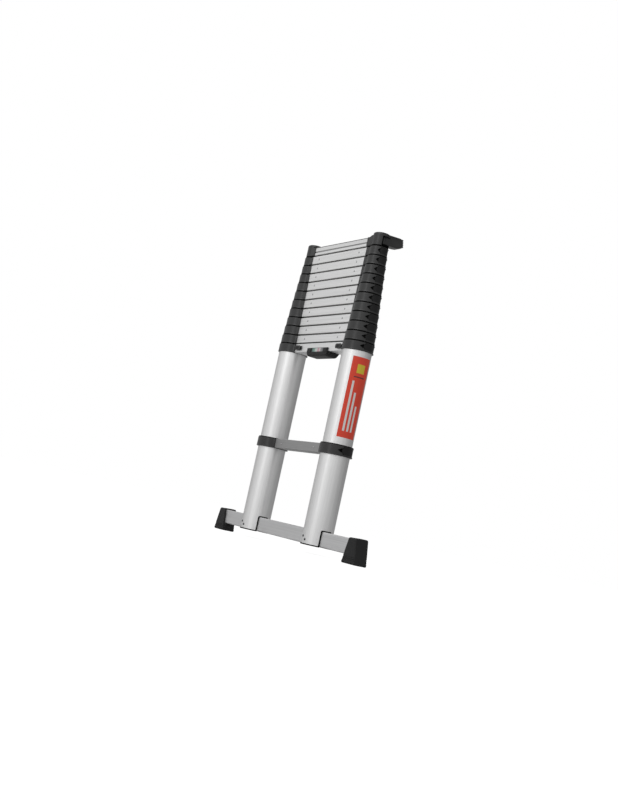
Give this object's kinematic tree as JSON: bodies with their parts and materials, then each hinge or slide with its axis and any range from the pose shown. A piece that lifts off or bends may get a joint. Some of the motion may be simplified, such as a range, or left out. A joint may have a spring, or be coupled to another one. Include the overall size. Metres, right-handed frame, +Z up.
{
  "type": "telescopic ladder",
  "caption": "Closed telescopic ladder with round nested stiles, flat treads, black collars, wall arms and a wide stabiliser bar on rubber feet.",
  "frame": {"origin": "centre of the ladder's footprint box on the ground, under the middle of its width and depth", "axes": "+X along the treads to the right-hand stile seen from the front, +Y to the wall that the ladder leans on, +Z up the stiles"},
  "size_m": [0.83, 0.119, 0.9356],
  "materials": {
    "tube_aluminium": "satin anodised",
    "bar_aluminium": "satin mill finish",
    "tread_aluminium": "satin anodised, fine lengthwise lines",
    "black_plastic": "fine matt moulded",
    "black_trim": "matt",
    "black_rubber": "matt moulded",
    "steel": "plain zinc"
  },
  "bodies": {
    "base": {"stile_left": "tube_aluminium", "stile_right": "tube_aluminium", "stile_plugs": "black_trim", "plug_screws": "steel", "stabiliser_bar": "bar_aluminium", "foot_left": "black_rubber", "foot_right": "black_rubber", "mid_rung": "tread_aluminium", "mid_collars": "black_plastic", "mid_rivets": "steel", "lowest_tread": "tread_aluminium", "lowest_collars": "black_plastic", "spring_seats": "black_trim", "bolt_spring_left": "steel", "bolt_spring_right": "steel", "carry_handle": "black_plastic"},
    "release_left": {"release_button_left": "black_plastic", "lock_bolt_left": "steel"},
    "release_right": {"release_button_right": "black_plastic", "lock_bolt_right": "steel"},
    "section_01": {"section_01_tubes": "tube_aluminium", "section_01_tread": "tread_aluminium", "section_01_collars": "black_plastic"},
    "section_02": {"section_02_tubes": "tube_aluminium", "section_02_tread": "tread_aluminium", "section_02_collars": "black_plastic"},
    "section_03": {"section_03_tubes": "tube_aluminium", "section_03_tread": "tread_aluminium", "section_03_collars": "black_plastic"},
    "section_04": {"section_04_tubes": "tube_aluminium", "section_04_tread": "tread_aluminium", "section_04_collars": "black_plastic"},
    "section_05": {"section_05_tubes": "tube_aluminium", "section_05_tread": "tread_aluminium", "section_05_collars": "black_plastic"},
    "section_06": {"section_06_tubes": "tube_aluminium", "section_06_tread": "tread_aluminium", "section_06_collars": "black_plastic"},
    "section_07": {"section_07_tubes": "tube_aluminium", "section_07_tread": "tread_aluminium", "section_07_collars": "black_plastic"},
    "section_08": {"section_08_tubes": "tube_aluminium", "section_08_tread": "tread_aluminium", "section_08_collars": "black_plastic"},
    "section_09": {"section_09_tubes": "tube_aluminium", "section_09_tread": "tread_aluminium", "section_09_collars": "black_plastic"},
    "section_10": {"section_10_tubes": "tube_aluminium", "section_10_tread": "tread_aluminium", "section_10_collars": "black_plastic"},
    "section_11": {"section_11_tubes": "tube_aluminium", "section_11_tread": "tread_aluminium", "top_cap_left": "black_plastic", "top_cap_right": "black_plastic", "wall_pad_left": "black_rubber", "wall_pad_right": "black_rubber"}
  },
  "joints": [
    {"name": "extend_01", "type": "slide", "parent": "base", "child": "section_01", "axis": [0, 0, 1], "range_m": [0, 0.27162]},
    {"name": "extend_02", "type": "slide", "parent": "section_01", "child": "section_02", "axis": [0, 0, 1], "range_m": [0, 0.27162]},
    {"name": "extend_03", "type": "slide", "parent": "section_02", "child": "section_03", "axis": [0, 0, 1], "range_m": [0, 0.27162]},
    {"name": "extend_04", "type": "slide", "parent": "section_03", "child": "section_04", "axis": [0, 0, 1], "range_m": [0, 0.27162]},
    {"name": "extend_05", "type": "slide", "parent": "section_04", "child": "section_05", "axis": [0, 0, 1], "range_m": [0, 0.27162]},
    {"name": "extend_06", "type": "slide", "parent": "section_05", "child": "section_06", "axis": [0, 0, 1], "range_m": [0, 0.27162]},
    {"name": "extend_07", "type": "slide", "parent": "section_06", "child": "section_07", "axis": [0, 0, 1], "range_m": [0, 0.27162]},
    {"name": "extend_08", "type": "slide", "parent": "section_07", "child": "section_08", "axis": [0, 0, 1], "range_m": [0, 0.27162]},
    {"name": "extend_09", "type": "slide", "parent": "section_08", "child": "section_09", "axis": [0, 0, 1], "range_m": [0, 0.27162]},
    {"name": "extend_10", "type": "slide", "parent": "section_09", "child": "section_10", "axis": [0, 0, 1], "range_m": [0, 0.27162]},
    {"name": "extend_11", "type": "slide", "parent": "section_10", "child": "section_11", "axis": [0, 0, 1], "range_m": [0, 0.27162]},
    {"name": "release_left_slide", "type": "slide", "parent": "base", "child": "release_left", "axis": [1, 0, 0], "range_m": [0, 0.008], "stiffness_N_per_m": 400, "springref_m": -0.006, "deforming": ["bolt_spring_left"]},
    {"name": "release_right_slide", "type": "slide", "parent": "base", "child": "release_right", "axis": [-1, 0, 0], "range_m": [0, 0.008], "stiffness_N_per_m": 400, "springref_m": -0.006, "deforming": ["bolt_spring_right"]}
  ]
}
